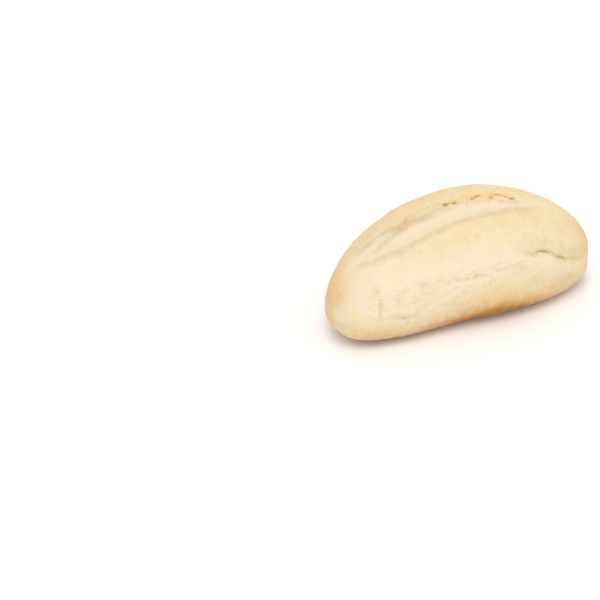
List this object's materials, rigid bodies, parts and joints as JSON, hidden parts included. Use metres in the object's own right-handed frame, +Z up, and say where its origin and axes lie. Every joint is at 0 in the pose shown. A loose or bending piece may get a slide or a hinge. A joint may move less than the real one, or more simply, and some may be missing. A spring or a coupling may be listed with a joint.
{
  "type": "bolillo roll",
  "caption": "Spindle-shaped white bread roll, pale and lightly baked, with one lengthwise slash opened along its crest and a small tear in one side.",
  "frame": {"origin": "on the flat base, in the middle of the roll's length and width", "axes": "+X along the roll, towards its fuller end; -Y is the front side with the tear; +Z up, with the slash along the crest, a little to the front"},
  "size_m": [0.15, 0.0752, 0.0596],
  "materials": {
    "crust": "matte floury crust"
  },
  "bodies": {
    "root": {"roll": "crust"}
  },
  "joints": []
}
